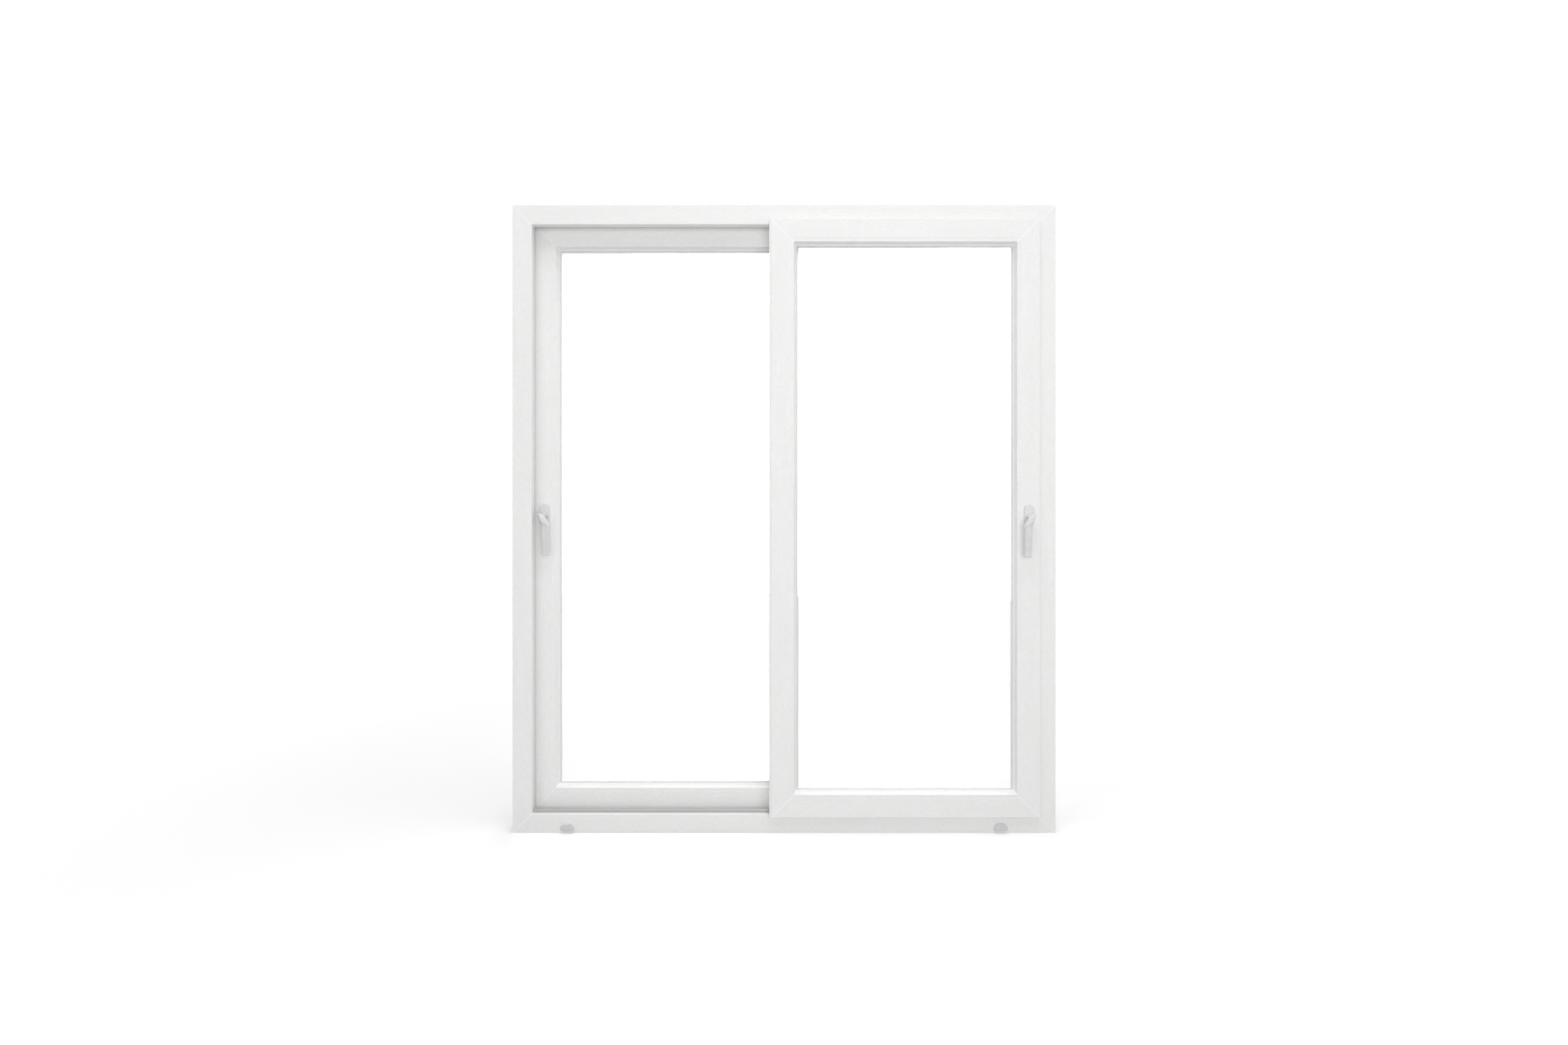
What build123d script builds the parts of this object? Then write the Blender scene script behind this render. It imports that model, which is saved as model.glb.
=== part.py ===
from build123d import *
import os

# Double glazed sliding window: two sashes on parallel tracks inside one welded, mitred frame.
# Millimetres. X runs along the sill, Y from the handle side to the far side, Z up.
# The origin is at the middle of the sill's underside.

# Outer frame profile
frame_width = 1700
frame_height = 1965
frame_face = 60
upstand_depth = 34
channel_depth = 25
lip_radius = 3
clip_groove_width = 16
clip_groove_depth = 3
clip_groove_offset = 24

# Sash profile
sash_depth = 60
sash_gap = 6
sash_body = 60
track_clearance = 2
track_groove_depth = 25
edge_radius = 1.5
lap_bottom = 8
lap_top = 16
lap_side = 9
meeting_reach = 41

# Glazing
pane = 4
cavity = 12
gasket = 3
glass_setback = 6
bead_flat = 12
bead_bevel = 4
bead_lip_height = 4
bead_lip_width = 6
bead_lip_land = 1
bead_step = 0.6
bead_clip_width = 4
bead_clip_depth = 4
bead_clip_offset = 8
rear_leg_height = 18
rear_leg = 10
gasket_height = 10
gasket_lip = 2.5
gasket_chamfer = 1.2
spacer_height = 12
spacer_inset = 6
packer_length = 100
fit_gap = 0.2

# Running gear
rail_height = 10
rail_width = 5
rail_nose_radius = 2
rail_foot_width = 9
rail_foot_thickness = 1
wheel_radius = 7.5
wheel_flange = 2
wheel_flange_thickness = 2
wheel_width = 10
wheel_clearance = 0.5
axle_radius = 2
roller_length = 56
roller_width = 18
roller_top = 12
roller_from_edge = 130
running_gap = 0.3

# Meeting stile interlocks and pile seals
interlock_thickness = 5
interlock_leg = 1.6
interlock_clip = 12
pile_width = 6
pile_from_edge = 3

# Handles
handle_height = 994
plate_width = 32
plate_length = 68
plate_thickness = 8
plate_taper = 8
plate_chamfer = 1.5
plate_above_pivot = 36
collar_radius = 11.5
collar_height = 2
neck_radius = 9.5
neck_end_radius = 8
neck_length = 20
neck_drop = 4
neck_bury = 2
head_tilt = 33
end_rise = 4
end_offset = -1.5
end_width = 14
end_thickness = 7
end_corner = 2.2
crown_drop = 1
crown_offset = -0.5
crown_width = 27
crown_thickness = 13
crown_corner = 4
head_drop = 13
head_offset = 4.3
head_width = 36
head_thickness = 17
head_corner = 5
head_lean = 5
shoulder_drop = 32
shoulder_width = 26
shoulder_thickness = 12
shoulder_corner = 3
grip_offset = 10
grip_drop = 127
grip_width = 21.5
grip_thickness = 9
grip_corner = 2.5
grip_return = 5
tip_chamfer = 1.5

# Drain caps
cap_width = 41.5
cap_height = 20
cap_top_width = 22
cap_shoulder = 9
cap_thickness = 7
cap_from_end = 172
cap_centre_height = 20
cap_wall = 2

frame_depth = upstand_depth + sash_depth + sash_gap
front_face = -frame_depth / 2
channel_floor = frame_face - channel_depth
track_offset = (frame_depth - upstand_depth) / 2
flange = (sash_depth - upstand_depth - 2 * track_clearance) / 2
glass_unit = 2 * pane + cavity
bead_depth = sash_depth - rear_leg - glass_unit - 2 * gasket
bead_height = bead_flat + bead_bevel + bead_lip_height
glass_edge = sash_body + glass_setback

sash_width = frame_width / 2 - frame_face + lap_side + meeting_reach
sash_bottom = frame_face - lap_bottom
sash_height = frame_height - 2 * frame_face + lap_bottom + lap_top
sash_middle = sash_bottom + sash_height / 2

depth_direction = Vector(0, 1, 0)
sides = {
    "bottom": Vector(0, 0, 1),
    "top": Vector(0, 0, -1),
    "left": Vector(1, 0, 0),
    "right": Vector(-1, 0, 0),
}


def write(solid, name):
    solid.label = name
    export_step(solid, f"parts/{name}.step")


# Frame section, drawn with depth across and the distance from the frame's outer edge upwards
with BuildSketch() as frame_section:
    with BuildLine():
        Polyline(
            (front_face, 0),
            (-front_face, 0),
            (-front_face, frame_face),
            (-front_face - upstand_depth, frame_face),
            (-front_face - upstand_depth, channel_floor),
            (front_face + upstand_depth, channel_floor),
            (front_face + upstand_depth, frame_face),
            (front_face, frame_face),
            close=True,
        )
    make_face()
    groove_height = clip_groove_depth / 2
    with Locations((-clip_groove_offset, groove_height), (clip_groove_offset, groove_height)):
        Rectangle(clip_groove_width, clip_groove_depth, mode=Mode.SUBTRACT)
    fillet(frame_section.vertices().group_by(Axis.Y)[-1], lip_radius)

# Sash section, drawn from the handle-side face and from the sash's outer edge
with BuildSketch() as sash_section:
    with BuildLine():
        Polyline(
            (0, 0),
            (flange, 0),
            (flange, track_groove_depth),
            (sash_depth - flange, track_groove_depth),
            (sash_depth - flange, 0),
            (sash_depth, 0),
            (sash_depth, sash_body + rear_leg_height),
            (sash_depth - rear_leg, sash_body + rear_leg_height),
            (sash_depth - rear_leg, sash_body),
            (0, sash_body),
            close=True,
        )
    make_face()
    fillet(sash_section.vertices().group_by(Axis.Y)[0].sort_by(Axis.X)[0], edge_radius)
    fillet(sash_section.vertices().group_by(Axis.Y)[-1].sort_by(Axis.X)[-1], edge_radius)
    with Locations((bead_clip_offset, sash_body - bead_clip_depth / 2)):
        Rectangle(bead_clip_width, bead_clip_depth, mode=Mode.SUBTRACT)

# Glazing bead section, drawn from the same two datums as the sash, with its clip foot in the sash's slot
with BuildSketch() as bead_section:
    with BuildLine():
        Polyline(
            (bead_step, sash_body),
            (bead_depth, sash_body),
            (bead_depth, sash_body + bead_height),
            (bead_depth - bead_lip_land, sash_body + bead_height),
            (bead_depth - bead_lip_width, sash_body + bead_flat + bead_bevel),
            (bead_step, sash_body + bead_flat),
            close=True,
        )
    make_face()
    fillet(bead_section.vertices().group_by(Axis.X)[0].sort_by(Axis.Y)[-1], edge_radius)
    with Locations((bead_clip_offset, sash_body - (bead_clip_depth - fit_gap) / 2)):
        Rectangle(bead_clip_width - 2 * fit_gap, bead_clip_depth - fit_gap)


def mitred_bar(section, edge, inward, length, reach):
    """A straight profile along one side of a rectangle, cut at 45 degrees at both ends."""
    along = depth_direction.cross(inward)
    with BuildPart() as bar:
        with BuildSketch(Plane(origin=edge, x_dir=depth_direction, z_dir=along)):
            add(section.sketch)
        extrude(amount=length / 2, both=True)
        with BuildSketch(Plane(origin=edge, x_dir=along, z_dir=along.cross(inward))):
            with BuildLine():
                Polyline(
                    (-length / 2, 0),
                    (length / 2, 0),
                    (length / 2 - reach, reach),
                    (-length / 2 + reach, reach),
                    close=True,
                )
            make_face()
        extrude(amount=2 * frame_depth, both=True, mode=Mode.INTERSECT)
    return bar.part


def edge_point(side, middle, width, height):
    """The midpoint of one side of a rectangle that stands in the XZ plane."""
    inward = sides[side]
    return middle - Vector(inward.X * width / 2, 0, inward.Z * height / 2)


def side_length(side, width, height):
    return width if side in ("bottom", "top") else height


# Outer frame
frame_names = {
    "bottom": "frame_sill",
    "top": "frame_head",
    "left": "frame_left_jamb",
    "right": "frame_right_jamb",
}
frame_middle = Vector(0, 0, frame_height / 2)
for side, frame_name in frame_names.items():
    edge = edge_point(side, frame_middle, frame_width, frame_height)
    length = side_length(side, frame_width, frame_height)
    write(mitred_bar(frame_section, edge, sides[side], length, frame_face), frame_name)

# Running rails on the sill's two upstands
for rail_name, track_y in (("front_rail", -track_offset), ("rear_rail", track_offset)):
    rail_length = frame_width - 2 * frame_face
    with BuildPart() as rail:
        with BuildSketch(Plane.YZ.offset(-rail_length / 2)) as rail_section:
            with Locations((track_y, frame_face + rail_foot_thickness / 2)):
                Rectangle(rail_foot_width, rail_foot_thickness)
            with Locations((track_y, frame_face + rail_height / 2)):
                Rectangle(rail_width, rail_height)
            fillet(rail_section.vertices().group_by(Axis.Y)[-1], rail_nose_radius)
        extrude(amount=rail_length)
    write(rail.part, rail_name)

# Hooded drain caps on the sill's face
for cap_name, cap_side in (("left_drain_cap", -1), ("right_drain_cap", 1)):
    cap_x = cap_side * (frame_width / 2 - cap_from_end)
    cap_plane = Plane(origin=(cap_x, front_face, cap_centre_height), x_dir=(1, 0, 0), z_dir=(0, -1, 0))
    with BuildPart() as cap:
        with BuildSketch(cap_plane):
            with BuildLine():
                Polyline(
                    (-cap_width / 2, -cap_height / 2),
                    (cap_width / 2, -cap_height / 2),
                    (cap_width / 2, cap_height / 2 - cap_shoulder),
                    (cap_top_width / 2, cap_height / 2),
                    (-cap_top_width / 2, cap_height / 2),
                    (-cap_width / 2, cap_height / 2 - cap_shoulder),
                    close=True,
                )
            make_face()
        extrude(amount=cap_thickness)
        hood_edges = cap.faces().sort_by(Axis.Y)[0].edges().sort_by(Axis.Z)[1:]
        chamfer(hood_edges, cap_wall)
        mouth_y = front_face - (cap_thickness - cap_wall) / 2
        with Locations((cap_x, mouth_y, cap_centre_height - cap_height / 2)):
            Box(
                cap_width - 4 * cap_wall,
                cap_thickness - 2 * cap_wall,
                cap_height,
                mode=Mode.SUBTRACT,
            )
    write(cap.part, cap_name)


def glazing_ring(middle, near_y, depth, outer, inner):
    """A rectangular ring round the sash's opening, between two distances from the sash's outer edge."""
    with BuildPart() as ring:
        with BuildSketch(Plane(origin=(middle.X, near_y, middle.Z), x_dir=(1, 0, 0), z_dir=(0, -1, 0))):
            Rectangle(sash_width - 2 * outer, sash_height - 2 * outer)
            Rectangle(sash_width - 2 * inner, sash_height - 2 * inner, mode=Mode.SUBTRACT)
        extrude(amount=-depth)
    return ring.part


def glass_pane(middle, near_y):
    """One sheet of glass, standing on the packers."""
    with BuildPart() as sheet:
        with Locations((middle.X, near_y + pane / 2, middle.Z)):
            Box(sash_width - 2 * glass_edge, pane, sash_height - 2 * glass_edge)
    return sheet.part


def bottom_rail_with_pockets(rail, middle, track_y):
    """The bottom rail with a pocket for each roller in the roof of its track groove."""
    pocket_height = roller_top + fit_gap
    with BuildPart() as pocketed:
        add(rail)
        with Locations(
            *[
                (x, track_y, sash_bottom + track_groove_depth + pocket_height / 2)
                for x in roller_positions(middle)
            ]
        ):
            Box(roller_length + 2 * fit_gap, roller_width + 2 * fit_gap, pocket_height, mode=Mode.SUBTRACT)
    return pocketed.part


def roller_positions(middle):
    reach = sash_width / 2 - roller_from_edge
    return (middle.X - reach, middle.X + reach)


def rollers(middle, track_y):
    """Two roller carriages, each a housing with a grooved wheel that runs on the rail."""
    wheel_z = frame_face + rail_height + running_gap + wheel_radius
    flange_radius = wheel_radius + wheel_flange
    housing_bottom = wheel_z - axle_radius
    housing_top = sash_bottom + track_groove_depth + roller_top
    slot_length = 2 * (flange_radius + wheel_clearance)
    slot_width = wheel_width + 2 * wheel_clearance
    with BuildPart() as carriages:
        for x in roller_positions(middle):
            with Locations((x, track_y, (housing_bottom + housing_top) / 2)):
                Box(roller_length, roller_width, housing_top - housing_bottom)
        for x in roller_positions(middle):
            with Locations((x, track_y, wheel_z)):
                Box(slot_length, slot_width, slot_length, mode=Mode.SUBTRACT)
        for x in roller_positions(middle):
            with Locations(Plane(origin=(x, track_y, wheel_z), z_dir=(0, 1, 0))):
                Cylinder(wheel_radius, wheel_width)
                Cylinder(axle_radius, roller_width)
            for end in (-1, 1):
                flange_y = track_y + end * (wheel_width - wheel_flange_thickness) / 2
                with Locations(Plane(origin=(x, flange_y, wheel_z), z_dir=(0, 1, 0))):
                    Cylinder(flange_radius, wheel_flange_thickness)
    return carriages.part


def packers(middle, near_y):
    """Glazing packers between the rebate and the edges of the sealed unit."""
    across = sash_width / 2 - sash_body - glass_setback / 2
    upright = sash_height / 2 - sash_body - glass_setback / 2
    quarter = sash_width / 2 - sash_body - glass_setback - packer_length
    rise = sash_height / 2 - sash_body - glass_setback - packer_length
    y = near_y + glass_unit / 2
    with BuildPart() as blocks:
        for end in (-1, 1):
            with Locations(
                (middle.X + end * quarter, y, middle.Z - upright),
                (middle.X + end * quarter, y, middle.Z + upright),
            ):
                Box(packer_length, glass_unit, glass_setback)
            with Locations(
                (middle.X - across, y, middle.Z + end * rise),
                (middle.X + across, y, middle.Z + end * rise),
            ):
                Box(glass_setback, glass_unit, packer_length)
    return blocks.part


def interlock(meeting_x, outward, near_y, gap_side):
    """Cap on the outer edge of a meeting stile, with a leg across the gap to the other sash."""
    leg_length = sash_gap - running_gap + interlock_leg
    groove_middle = near_y + sash_depth / 2
    groove_width = upstand_depth + 2 * track_clearance
    leg_y = groove_middle + gap_side * (sash_depth / 2 - interlock_leg + leg_length / 2)
    clip_y = groove_width / 2 - interlock_leg / 2 - fit_gap
    notches = (
        (sash_bottom, lap_bottom + rail_height + track_clearance),
        (sash_bottom + sash_height, -lap_top - track_clearance),
    )
    with BuildPart() as cap:
        with BuildSketch(Plane.XY.offset(sash_bottom)):
            with Locations((meeting_x + outward * interlock_thickness / 2, groove_middle)):
                RectangleRounded(interlock_thickness, sash_depth, interlock_leg / 2)
            with Locations((meeting_x + outward * (interlock_thickness - interlock_leg / 2), leg_y)):
                Rectangle(interlock_leg, leg_length)
            with Locations(
                (meeting_x - outward * interlock_clip / 2, groove_middle - clip_y),
                (meeting_x - outward * interlock_clip / 2, groove_middle + clip_y),
            ):
                Rectangle(interlock_clip + interlock_thickness, interlock_leg)
        extrude(amount=sash_height)
        for notch_z, notch_height in notches:
            with Locations((meeting_x, groove_middle, notch_z + notch_height / 2)):
                Box(4 * interlock_clip, groove_width, abs(notch_height), mode=Mode.SUBTRACT)
    return cap.part


def pile_seals(middle, near_y, outer_side):
    """Brush strips in the sash's track groove, against both faces of the frame's upstands."""
    thickness = track_clearance - running_gap
    clear = track_groove_depth
    with BuildPart() as strips:
        for face in (-1, 1):
            y = near_y + sash_depth / 2 + face * (upstand_depth / 2 + running_gap + thickness / 2)
            low = sash_bottom + pile_from_edge / 2 + pile_width / 2
            high = sash_bottom + sash_height - pile_from_edge - pile_width / 2
            with Locations((middle.X, y, low), (middle.X, y, high)):
                Box(sash_width - 2 * clear, thickness, pile_width)
            x = middle.X + outer_side * (sash_width / 2 - pile_from_edge / 2 - pile_width / 2)
            with Locations((x, y, middle.Z)):
                Box(pile_width, thickness, sash_height - 2 * clear)
    return strips.part


def handle_plate(x, face_y):
    """Tapered backplate with rounded ends, a softened edge and a round collar at the pivot."""
    plate_middle = handle_height + plate_above_pivot - plate_length / 2
    back = Plane(origin=(x, face_y, plate_middle), x_dir=(1, 0, 0), z_dir=(0, -1, 0))
    pivot = Plane(origin=(x, face_y - plate_thickness, handle_height), x_dir=(1, 0, 0), z_dir=(0, -1, 0))
    with BuildPart() as plate:
        with BuildSketch(back):
            SlotOverall(plate_length, plate_width, rotation=90)
        extrude(amount=plate_thickness, taper=plate_taper)
        chamfer(plate.faces().sort_by(Axis.Y)[0].edges(), plate_chamfer)
        with BuildSketch(pivot):
            Circle(collar_radius)
        extrude(amount=collar_height)
    return plate.part


def lever_section(x, y, z, width, thickness, corner, tilt=0):
    """Section of the lever with its four corners cut off, tilted about the axis through the window."""
    across = Vector(1, 0, 0).rotate(Axis.Y, -tilt)
    down = Vector(0, 0, -1).rotate(Axis.Y, -tilt)
    with BuildSketch(Plane(origin=(x, y, z), x_dir=across, z_dir=down)) as section:
        Rectangle(width, thickness)
        chamfer(section.vertices(), length=corner)
    return section.sketch


def handle_lever(x, face_y, toward_glass):
    """Cranked lever: a neck that drops a little, an oblique swelling head, and a flat grip towards the glass."""
    root_y = face_y - plate_thickness - collar_height
    head_y = root_y - neck_length
    shoulder_y = head_y - head_lean
    tilt = -toward_glass * head_tilt
    z = handle_height

    end_x = x + toward_glass * end_offset
    end = lever_section(end_x, head_y, z + end_rise, end_width, end_thickness, end_corner, tilt / 2)
    crown_x = x + toward_glass * crown_offset
    crown = lever_section(crown_x, head_y, z - crown_drop, crown_width, crown_thickness, crown_corner, tilt)
    head_x = x + toward_glass * head_offset
    bulge_y = (head_y + shoulder_y) / 2
    head = lever_section(head_x, bulge_y, z - head_drop, head_width, head_thickness, head_corner, tilt)
    grip_x = x + toward_glass * grip_offset
    shoulder = lever_section(
        grip_x, shoulder_y, z - shoulder_drop, shoulder_width, shoulder_thickness, shoulder_corner, tilt
    )
    tip = lever_section(grip_x, shoulder_y + grip_return, z - grip_drop, grip_width, grip_thickness, grip_corner)
    with BuildPart() as lever:
        with BuildSketch(Plane(origin=(x, root_y, z), x_dir=(1, 0, 0), z_dir=(0, -1, 0))) as neck_root:
            Circle(neck_radius)
        neck_end_point = (x, head_y + neck_bury, z - neck_drop)
        with BuildSketch(Plane(origin=neck_end_point, x_dir=(1, 0, 0), z_dir=(0, -1, 0))) as neck_end:
            Circle(neck_end_radius)
        loft(sections=(neck_root.sketch, neck_end.sketch))
        loft(sections=(end, crown, head, shoulder))
        loft(sections=(shoulder, tip), ruled=True)
        chamfer(lever.faces().sort_by(Axis.Z)[0].edges(), tip_chamfer)
    return lever.part


def build_sash(prefix, side_sign, near_y):
    """Every piece of one sash; side_sign is 1 for the sash that closes on the right jamb."""
    middle_x = side_sign * (sash_width / 2 - meeting_reach)
    middle = Vector(middle_x, near_y, sash_middle)
    track_y = near_y + sash_depth / 2
    outer = "right" if side_sign > 0 else "left"
    member_names = {"bottom": "bottom_rail", "top": "top_rail"}
    member_names["left"] = "outer_stile" if outer == "left" else "meeting_stile"
    member_names["right"] = "outer_stile" if outer == "right" else "meeting_stile"
    for side, member in member_names.items():
        edge = edge_point(side, middle, sash_width, sash_height)
        length = side_length(side, sash_width, sash_height)
        bar = mitred_bar(sash_section, edge, sides[side], length, sash_body + rear_leg_height)
        if side == "bottom":
            bar = bottom_rail_with_pockets(bar, middle, track_y)
        write(bar, f"{prefix}_sash_{member}")
        bead = mitred_bar(bead_section, edge, sides[side], length, sash_body + bead_height)
        write(bead, f"{prefix}_{member}_bead")

    glass_y = near_y + bead_depth + gasket
    write(glass_pane(middle, glass_y), f"{prefix}_sash_near_pane")
    write(glass_pane(middle, glass_y + pane + cavity), f"{prefix}_sash_far_pane")
    spacer_outer = glass_edge + spacer_inset
    spacer_y = glass_y + pane + fit_gap
    spacer_depth = cavity - 2 * fit_gap
    spacer = glazing_ring(middle, spacer_y, spacer_depth, spacer_outer, spacer_outer + spacer_height)
    write(spacer, f"{prefix}_sash_spacer_bar")

    bead_top = sash_body + bead_height
    leg_top = sash_body + rear_leg_height
    near_gasket_y = near_y + bead_depth
    far_gasket_y = glass_y + glass_unit
    with BuildPart() as gaskets:
        add(glazing_ring(middle, near_gasket_y, gasket, bead_top - gasket_height, bead_top + gasket_lip))
        chamfer(gaskets.faces().sort_by(Axis.Y)[0].inner_wires()[0].edges(), gasket_chamfer)
        add(glazing_ring(middle, far_gasket_y, gasket, leg_top - gasket_height, leg_top + gasket_lip))
    write(gaskets.part, f"{prefix}_sash_gaskets")

    write(packers(middle, glass_y), f"{prefix}_sash_packers")
    write(rollers(middle, track_y), f"{prefix}_sash_rollers")
    write(pile_seals(middle, near_y, side_sign), f"{prefix}_sash_pile_seals")
    meeting_x = -side_sign * meeting_reach
    write(interlock(meeting_x, -side_sign, near_y, side_sign), f"{prefix}_sash_interlock")

    handle_x = side_sign * (frame_width / 2 - frame_face + lap_side - (sash_body + bead_flat) / 2)
    write(handle_plate(handle_x, near_y), f"{prefix}_handle_plate")
    write(handle_lever(handle_x, near_y, -side_sign), f"{prefix}_handle_lever")


front_sash_y = -track_offset - sash_depth / 2
rear_sash_y = track_offset - sash_depth / 2
build_sash("front", 1, front_sash_y)
build_sash("rear", -1, rear_sash_y)
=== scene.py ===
import math

import bpy
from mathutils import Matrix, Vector


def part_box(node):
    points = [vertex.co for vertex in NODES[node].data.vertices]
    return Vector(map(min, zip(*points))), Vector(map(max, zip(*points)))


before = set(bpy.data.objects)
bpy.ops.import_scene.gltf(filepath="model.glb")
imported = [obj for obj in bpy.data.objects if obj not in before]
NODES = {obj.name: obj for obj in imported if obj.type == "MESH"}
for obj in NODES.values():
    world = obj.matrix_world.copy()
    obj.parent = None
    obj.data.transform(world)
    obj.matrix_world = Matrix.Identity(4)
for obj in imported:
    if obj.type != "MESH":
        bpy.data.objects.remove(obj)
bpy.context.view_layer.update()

# The window's own sizes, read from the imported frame, in metres
JAMB_LOW, JAMB_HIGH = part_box("frame_left_jamb")
SILL_LOW, SILL_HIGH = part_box("frame_sill")
FRAME_FRONT = JAMB_LOW.y
FRAME_HEIGHT = JAMB_HIGH.z - JAMB_LOW.z
FRAME_WIDTH = SILL_HIGH.x - SILL_LOW.x

# The photograph's size, and the frame's edges in it, in its own pixels
PHOTO_WIDTH = 2353
PHOTO_HEIGHT = 1568
FRAME_LEFT_PX = 769.1
FRAME_RIGHT_PX = 1583.9
FRAME_BOTTOM_PX = 1250.0

# Level camera: focal length and downward shift, in the photograph's pixels
LENS_PX = 1400.0
SHIFT_PX = 72.0

# Width of the camera's sensor in millimetres, and how far it sees, in metres
SENSOR = 36.0
CLIP_END = 100.0

# Softboxes round the window: place, width and height, in metres, and power in watts
SOFTBOXES = {
    "key": ((0.8, -4.6, 1.5), (3.6, 2.8), 88.0),
    "fill": ((-2.6, -4.2, 1.5), (2.4, 2.8), 20.0),
    "top": ((0.2, -1.3, 4.4), (3.2, 2.0), 56.0),
    "right": ((3.4, -0.5, 1.6), (2.0, 2.8), 14.0),
    "left": ((-3.4, -0.5, 1.6), (2.0, 2.8), 14.0),
    "back": ((0.5, 3.8, 2.2), (3.2, 2.6), 85.0),
}

# Ambient light from the horizon and from straight above
AMBIENT_HORIZON = 0.05
AMBIENT_ZENITH = 0.5

# Colours, as linear values
WHITE = (1.0, 1.0, 1.0)
FOIL_WHITE = (0.88, 0.88, 0.876)
FOIL_GRAIN = (0.81, 0.81, 0.803)
WELD_WHITE = (0.93, 0.93, 0.93)
TRIM_WHITE = (0.65, 0.65, 0.65)
HANDLE_WHITE = (0.70, 0.70, 0.70)
GASKET_GREY = (0.76, 0.76, 0.76)
PILE_GREY = (0.42, 0.42, 0.42)
ALUMINIUM = (0.78, 0.79, 0.80)
# Rail: the aluminium's own grey, darkened further as painted shade for the shadowed band under the sash
RAIL_GREY_AND_PAINTED_SHADE = (0.48, 0.48, 0.48)
PACKER_BLUE = (0.16, 0.30, 0.50)
ROLLER_BLACK = (0.06, 0.06, 0.06)
FLOOR_WHITE = (0.93, 0.93, 0.93)

# Floor: its side, and the distances from the window between which it turns white, in metres
FLOOR_SIDE = 30.0
FLOOR_FADE = (1.1, 2.4)

# Floor: its glow and roughness where it is seen, and its colour for the light that it throws back
FLOOR_GLOW = 0.15
FLOOR_ROUGHNESS = 0.9
FLOOR_RETURN = (0.6, 0.6, 0.6)

# Foil: how often arches, their waver, pores and broad tone change along, across and into a board, per metre
ARCH_SCALE = (5.5, 32.0, 32.0)
WAVER_SCALE = (40.0, 150.0, 150.0)
PORE_SCALE = (60.0, 620.0, 620.0)
TONE_SCALE = (3.0, 25.0, 25.0)

# Foil: the phase that arches and waver give the growth lines, in radians, and how much the arches swirl
ARCH_LINES = 105.0
WAVER_LINES = 2.2
ARCH_SWIRL = 0.3

# Foil: the levels between which a wave becomes a growth line and noise becomes a pore
LINE_EDGE = (-0.2, 0.9)
PORE_EDGE = (0.48, 0.66)

# Foil: the distances from a mitre between which its weld line fades, in metres
WELD_FADE = (0.0008, 0.0022)

# Foil: how much the growth lines, the pores and the board's broad tone darken it
LINE_SHADE = 0.30
PORE_SHADE = 0.30
TONE_SHADE = 0.55

# Foil: depth of the embossing in metres, and how far down lines and pores go, as shares of it
FOIL_RELIEF = 0.00022
LINE_DEPTH = -0.55
PORE_DEPTH = -0.45

# Foil: its roughness, and what the pores add to it
FOIL_ROUGHNESS = 0.42
PORE_ROUGHNESS = 0.10

# Moulded and coated surfaces: how often the stipple changes, per metre, and the spread of roughness it gives
STIPPLE_SCALE = 1500.0
STIPPLE_ROUGHNESS = 0.08

# Moulded and coated surfaces: how often blotches change, per metre, their levels, and the colour they keep
BLOTCH_SCALE = 45.0
BLOTCH_EDGE = (0.25, 0.75)
BLOTCH_SHADE = 0.93

# Drawn aluminium: how often the draw lines change along and across X, per metre, and their depth in metres
DRAWN_SCALE = (6.0, 2600.0, 2600.0)
DRAWN_RELIEF = 0.00004

# Drawn aluminium: its roughness, what the draw lines add to it, and the colour's share in them
DRAWN_ROUGHNESS = 0.45
DRAWN_LINE_ROUGHNESS = 0.14
DRAWN_LINE_SHADE = 0.86

# Glass: its refraction, and a faint smear: how often it changes, per metre, its levels and its roughness
GLASS_IOR = 1.5
SMEAR_SCALE = 3.0
SMEAR_EDGE = (0.4, 0.8)
SMEAR_ROUGHNESS = 0.004

# A colour mix node has its two colours at inputs 6 and 7, and the mixed colour at output 2
MIX_LOW = 6
MIX_HIGH = 7
MIX_RESULT = 2


class NodeTree:
    """Short calls that add and link the nodes of a material or of the world."""

    def __init__(self, owner, output_name):
        owner.use_nodes = True
        self.nodes = owner.node_tree.nodes
        self.links = owner.node_tree.links
        self.output = self.nodes[output_name].inputs["Surface"]

    def node(self, kind, **settings):
        made = self.nodes.new(kind)
        for key, value in settings.items():
            setattr(made, key, value)
        return made

    def link(self, source, target):
        self.links.new(source, target)

    def put(self, socket, source):
        """Puts a number, a colour or another node's output on a socket."""
        if isinstance(source, bpy.types.NodeSocket):
            self.link(source, socket)
        else:
            socket.default_value = source

    def math(self, operation, first, second=0.0, third=0.0, clamp=False):
        made = self.node("ShaderNodeMath", operation=operation, use_clamp=clamp)
        for socket, source in zip(made.inputs, (first, second, third)):
            self.put(socket, source)
        return made.outputs[0]

    def mix(self, factor, low, high):
        """The low colour where the factor is 0, and the high one where it is 1."""
        made = self.node("ShaderNodeMix", data_type="RGBA")
        self.put(made.inputs["Factor"], factor)
        self.put(made.inputs[MIX_LOW], low)
        self.put(made.inputs[MIX_HIGH], high)
        return made.outputs[MIX_RESULT]

    def ramp(self, source, low, high):
        """A smooth step from 0 at low to 1 at high."""
        made = self.node("ShaderNodeMapRange", interpolation_type="SMOOTHSTEP", clamp=True)
        self.put(made.inputs["Value"], source)
        made.inputs["From Min"].default_value = low
        made.inputs["From Max"].default_value = high
        return made.outputs["Result"]

    def choose(self, factor, first, second):
        """The first shader where the factor is 0, and the second where it is 1."""
        made = self.node("ShaderNodeMixShader")
        for socket, source in zip(made.inputs, (factor, first, second)):
            self.link(source, socket)
        return made.outputs[0]

    def seen_directly(self):
        """1 for camera, glossy and transmission rays, 0 for the rays that light the object."""
        rays = self.node("ShaderNodeLightPath").outputs
        either = self.math("MAXIMUM", rays["Is Camera Ray"], rays["Is Glossy Ray"])
        return self.math("MAXIMUM", either, rays["Is Transmission Ray"])


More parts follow.
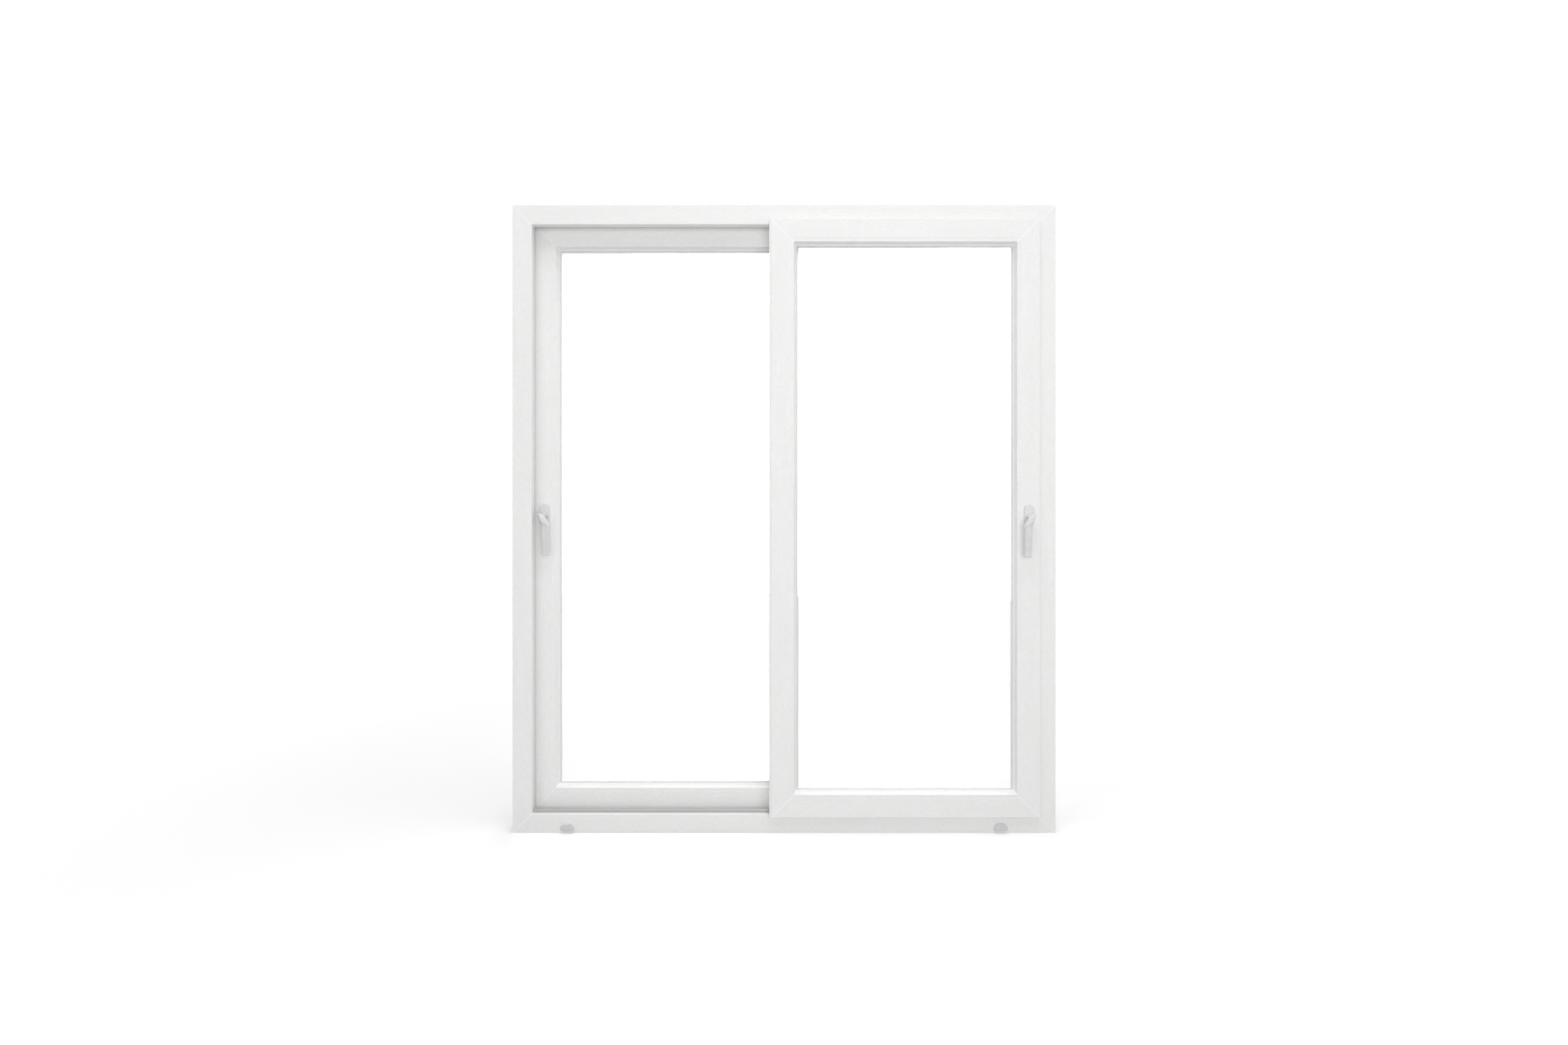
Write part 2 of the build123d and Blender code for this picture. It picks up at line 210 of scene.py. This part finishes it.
class Surface(NodeTree):
    """A material with a Principled BSDF and patterns laid out in the object's own metres."""

    def __init__(self, name):
        self.material = bpy.data.materials.new(name)
        super().__init__(self.material, "Material Output")
        self.bsdf = self.nodes["Principled BSDF"]

    def set(self, input_name, source):
        self.put(self.bsdf.inputs[input_name], source)

    def place(self):
        """The point on the surface, split into x, y and z in metres."""
        split = self.node("ShaderNodeSeparateXYZ")
        self.link(self.node("ShaderNodeTexCoord").outputs["Object"], split.inputs[0])
        return tuple(split.outputs)

    def noise(self, x, y, z, scales, detail=2.0, roughness=0.5, distortion=0.0):
        """Noise over x, y and z, each multiplied by its own scale."""
        joined = self.node("ShaderNodeCombineXYZ")
        for socket, source, scale in zip(joined.inputs, (x, y, z), scales):
            self.link(self.math("MULTIPLY", source, scale), socket)
        made = self.node("ShaderNodeTexNoise")
        self.link(joined.outputs[0], made.inputs["Vector"])
        made.inputs["Scale"].default_value = 1.0
        made.inputs["Detail"].default_value = detail
        made.inputs["Roughness"].default_value = roughness
        made.inputs["Distortion"].default_value = distortion
        return made.outputs[0]

    def bump(self, height, distance):
        made = self.node("ShaderNodeBump")
        made.inputs["Distance"].default_value = distance
        self.link(height, made.inputs["Height"])
        self.set("Normal", made.outputs[0])


def rgba(colour):
    return (*colour, 1.0)


def darkened(colour, share):
    return tuple(channel * share for channel in colour)


def depth_inside(shader, coordinate, middle, size):
    """How far a coordinate lies inside the nearer of two edges."""
    from_middle = shader.math("ABSOLUTE", shader.math("SUBTRACT", coordinate, middle))
    return shader.math("SUBTRACT", size / 2, from_middle)


def weld_lines(shader, x, z, rectangle):
    """1 on the mitre lines at the rectangle's corners, 0 away from them."""
    (middle_x, middle_z), (width, height) = rectangle
    from_side = depth_inside(shader, x, middle_x, width)
    from_end = depth_inside(shader, z, middle_z, height)
    from_mitre = shader.math("ABSOLUTE", shader.math("SUBTRACT", from_side, from_end))
    return shader.math("SUBTRACT", 1.0, shader.ramp(from_mitre, *WELD_FADE))


def foil(name, grain_axis, rectangle):
    """White foil with embossed wood grain along one axis, and bright weld lines on the rectangle's mitres."""
    shader = Surface(name)
    x, y, z = shader.place()
    along, across = (x, z) if grain_axis == "X" else (z, x)

    # Growth lines: the contours of a long, narrow noise, as the arches of a sawn board
    board = shader.noise(along, across, y, ARCH_SCALE, detail=1.0, distortion=ARCH_SWIRL)
    waver = shader.noise(along, across, y, WAVER_SCALE, detail=1.0)
    phase = shader.math("MULTIPLY_ADD", board, ARCH_LINES, shader.math("MULTIPLY", waver, WAVER_LINES))
    lines = shader.ramp(shader.math("SINE", phase), *LINE_EDGE)
    # Pores: short fine dashes that lie along the grain
    pores = shader.ramp(shader.noise(along, across, y, PORE_SCALE, roughness=0.6), *PORE_EDGE)
    tone = shader.noise(along, across, y, TONE_SCALE)
    weld = weld_lines(shader, x, z, rectangle)
    foiled = shader.math("SUBTRACT", 1.0, weld)

    shade = shader.math("MULTIPLY_ADD", lines, LINE_SHADE, shader.math("MULTIPLY", pores, PORE_SHADE))
    shade = shader.math("MULTIPLY_ADD", tone, TONE_SHADE, shade)
    shade = shader.math("MULTIPLY", shade, foiled, clamp=True)
    colour = shader.mix(shade, rgba(FOIL_WHITE), rgba(FOIL_GRAIN))
    shader.set("Base Color", shader.mix(weld, colour, rgba(WELD_WHITE)))

    relief = shader.math("MULTIPLY_ADD", lines, LINE_DEPTH, shader.math("MULTIPLY", pores, PORE_DEPTH))
    shader.bump(shader.math("MULTIPLY", relief, foiled), FOIL_RELIEF)
    shader.set("Roughness", shader.math("MULTIPLY_ADD", pores, PORE_ROUGHNESS, FOIL_ROUGHNESS))
    return shader.material


def plain(name, colour, roughness, relief, stipple_scale=STIPPLE_SCALE):
    """A moulded or coated surface with a fine stipple and faint blotches."""
    shader = Surface(name)
    x, y, z = shader.place()
    stipple = shader.noise(x, y, z, (stipple_scale,) * 3, detail=3.0)
    blotch = shader.ramp(shader.noise(x, y, z, (BLOTCH_SCALE,) * 3), *BLOTCH_EDGE)
    shader.set("Base Color", shader.mix(blotch, rgba(colour), rgba(darkened(colour, BLOTCH_SHADE))))
    smoothest = roughness - STIPPLE_ROUGHNESS / 2
    shader.set("Roughness", shader.math("MULTIPLY_ADD", stipple, STIPPLE_ROUGHNESS, smoothest))
    shader.bump(stipple, relief)
    return shader.material


def drawn_aluminium(name, colour, metallic):
    """Extruded aluminium with fine draw lines along X."""
    shader = Surface(name)
    x, y, z = shader.place()
    lines = shader.noise(x, y, z, DRAWN_SCALE)
    shader.set("Base Color", shader.mix(lines, rgba(colour), rgba(darkened(colour, DRAWN_LINE_SHADE))))
    shader.set("Roughness", shader.math("MULTIPLY_ADD", lines, DRAWN_LINE_ROUGHNESS, DRAWN_ROUGHNESS))
    shader.set("Metallic", metallic)
    shader.bump(lines, DRAWN_RELIEF)
    return shader.material


def glass(name):
    """Clear float glass that lets shadow rays through."""
    shader = Surface(name)
    x, y, z = shader.place()
    shader.set("Base Color", rgba(WHITE))
    shader.set("Transmission Weight", 1.0)
    shader.set("IOR", GLASS_IOR)
    smear = shader.ramp(shader.noise(x, y, z, (SMEAR_SCALE,) * 3), *SMEAR_EDGE)
    shader.set("Roughness", shader.math("MULTIPLY", smear, SMEAR_ROUGHNESS))
    shadow_ray = shader.node("ShaderNodeLightPath").outputs["Is Shadow Ray"]
    clear = shader.node("ShaderNodeBsdfTransparent")
    shader.link(shader.choose(shadow_ray, shader.bsdf.outputs[0], clear.outputs[0]), shader.output)
    return shader.material


def dress(material, *names):
    """Puts the material in every slot of the named CAD nodes."""
    for name in names:
        for slot in NODES[name].material_slots:
            slot.material = material


def rectangle_of(*names):
    """Middle and size, in X and Z, of the box that holds the named nodes."""
    corners = [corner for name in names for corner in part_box(name)]
    low = Vector([min(corner[axis] for corner in corners) for axis in range(3)])
    high = Vector([max(corner[axis] for corner in corners) for axis in range(3)])
    return ((low.x + high.x) / 2, (low.z + high.z) / 2), (high.x - low.x, high.z - low.z)


def dress_frame():
    rectangle = rectangle_of("frame_left_jamb", "frame_right_jamb")
    dress(foil("frame_foil_level", "X", rectangle), "frame_sill", "frame_head")
    dress(foil("frame_foil_upright", "Z", rectangle), "frame_left_jamb", "frame_right_jamb")


def dress_sash(prefix):
    rectangle = rectangle_of(f"{prefix}_sash_outer_stile", f"{prefix}_sash_meeting_stile")
    level = foil(f"{prefix}_foil_level", "X", rectangle)
    upright = foil(f"{prefix}_foil_upright", "Z", rectangle)
    for member in ("bottom_rail", "top_rail"):
        dress(level, f"{prefix}_sash_{member}", f"{prefix}_{member}_bead")
    for member in ("outer_stile", "meeting_stile"):
        dress(upright, f"{prefix}_sash_{member}", f"{prefix}_{member}_bead")
    dress(upright, f"{prefix}_sash_interlock")


def dress_hardware():
    pane = glass("clear_glass")
    gasket = plain("gasket_rubber", GASKET_GREY, roughness=0.55, relief=0.00005)
    pile = plain("brush_pile", PILE_GREY, roughness=0.9, relief=0.0006, stipple_scale=2500.0)
    spacer = drawn_aluminium("spacer_aluminium", ALUMINIUM, metallic=0.0)
    # The rail's colour holds painted shade: it is darker than its own grey, to stand for the shade under the
    # sash
    rail = drawn_aluminium("rail_aluminium", RAIL_GREY_AND_PAINTED_SHADE, metallic=0.35)
    packer = plain("packer_plastic", PACKER_BLUE, roughness=0.5, relief=0.00005)
    roller = plain("roller_plastic", ROLLER_BLACK, roughness=0.45, relief=0.00005)
    handle = plain("handle_paint", HANDLE_WHITE, roughness=0.26, relief=0.00003, stipple_scale=2200.0)
    cap = plain("cap_plastic", TRIM_WHITE, roughness=0.4, relief=0.00004)
    for prefix in ("front", "rear"):
        dress(pane, f"{prefix}_sash_near_pane", f"{prefix}_sash_far_pane")
        dress(gasket, f"{prefix}_sash_gaskets")
        dress(pile, f"{prefix}_sash_pile_seals")
        dress(spacer, f"{prefix}_sash_spacer_bar")
        dress(rail, f"{prefix}_rail")
        dress(packer, f"{prefix}_sash_packers")
        dress(roller, f"{prefix}_sash_rollers")
        dress(handle, f"{prefix}_handle_plate", f"{prefix}_handle_lever")
    dress(cap, "left_drain_cap", "right_drain_cap")


def add_camera():
    """A level camera whose scale and horizon follow the frame's edges in the photograph."""
    px_per_metre = (FRAME_RIGHT_PX - FRAME_LEFT_PX) / FRAME_WIDTH
    distance = LENS_PX / px_per_metre
    horizon_px = PHOTO_HEIGHT / 2 - SHIFT_PX
    eye = (FRAME_BOTTOM_PX - horizon_px) / px_per_metre
    aside = ((FRAME_LEFT_PX + FRAME_RIGHT_PX) / 2 - PHOTO_WIDTH / 2) / px_per_metre
    data = bpy.data.cameras.new("camera")
    data.sensor_fit = "HORIZONTAL"
    data.sensor_width = SENSOR
    data.lens = LENS_PX / PHOTO_WIDTH * SENSOR
    data.shift_y = -SHIFT_PX / PHOTO_WIDTH
    data.clip_end = CLIP_END
    camera = bpy.data.objects.new("camera", data)
    camera.location = (-aside, FRAME_FRONT - distance, eye)
    camera.rotation_euler = (math.radians(90), 0, 0)
    bpy.context.scene.collection.objects.link(camera)
    bpy.context.scene.camera = camera


def add_softbox(name, place, size, power):
    """A rectangular lamp that faces the middle of the window."""
    data = bpy.data.lights.new(name, "AREA")
    data.shape = "RECTANGLE"
    data.size, data.size_y = size
    data.energy = power
    lamp = bpy.data.objects.new(name, data)
    lamp.location = place
    toward_window = Vector((0.0, 0.0, FRAME_HEIGHT / 2)) - Vector(place)
    lamp.rotation_euler = toward_window.to_track_quat("-Z", "Y").to_euler()
    bpy.context.scene.collection.objects.link(lamp)


def add_world():
    """White where it is seen directly, and an ambient light that grows from the horizon to the zenith."""
    world = bpy.data.worlds.new("studio")
    bpy.context.scene.world = world
    tree = NodeTree(world, "World Output")
    direction = tree.node("ShaderNodeSeparateXYZ")
    tree.link(tree.node("ShaderNodeTexCoord").outputs["Generated"], direction.inputs[0])
    level = tree.node("ShaderNodeMapRange")
    level.inputs["To Min"].default_value = AMBIENT_HORIZON
    level.inputs["To Max"].default_value = AMBIENT_ZENITH
    tree.link(direction.outputs[2], level.inputs["Value"])
    ambient = tree.nodes["Background"]
    ambient.inputs["Color"].default_value = rgba(WHITE)
    tree.link(level.outputs["Result"], ambient.inputs["Strength"])
    white = tree.node("ShaderNodeBackground")
    white.inputs["Color"].default_value = rgba(WHITE)
    tree.link(tree.choose(tree.seen_directly(), ambient.outputs[0], white.outputs[0]), tree.output)


def floor_material():
    """Pale with the window's shadow on it, white further out, and dull for the light that it throws back."""
    shader = Surface("floor_pale")
    x, y, _ = shader.place()
    shader.set("Base Color", rgba(FLOOR_WHITE))
    shader.set("Roughness", FLOOR_ROUGHNESS)
    shader.set("Specular IOR Level", 0.0)
    shader.set("Emission Color", rgba(WHITE))
    shader.set("Emission Strength", FLOOR_GLOW)
    distance = shader.math("SQRT", shader.math("MULTIPLY_ADD", x, x, shader.math("MULTIPLY", y, y)))
    whitened = shader.math("MULTIPLY", shader.ramp(distance, *FLOOR_FADE), shader.seen_directly())
    glow = shader.node("ShaderNodeEmission")
    seen = shader.choose(whitened, shader.bsdf.outputs[0], glow.outputs[0])
    diffuse_ray = shader.node("ShaderNodeLightPath").outputs["Is Diffuse Ray"]
    dull = shader.node("ShaderNodeBsdfDiffuse")
    dull.inputs["Color"].default_value = rgba(FLOOR_RETURN)
    shader.link(shader.choose(diffuse_ray, seen, dull.outputs[0]), shader.output)
    return shader.material


def add_floor():
    half = FLOOR_SIDE / 2
    corners = [(-half, -half, 0), (half, -half, 0), (half, half, 0), (-half, half, 0)]
    mesh = bpy.data.meshes.new("floor")
    mesh.from_pydata(corners, [], [(0, 1, 2, 3)])
    mesh.materials.append(floor_material())
    floor = bpy.data.objects.new("floor", mesh)
    bpy.context.scene.collection.objects.link(floor)


dress_frame()
dress_sash("front")
dress_sash("rear")
dress_hardware()
add_world()
for softbox_name, (place, size, power) in SOFTBOXES.items():
    add_softbox(softbox_name, place, size, power)
add_floor()
add_camera()
bpy.context.scene.view_settings.view_transform = "Standard"
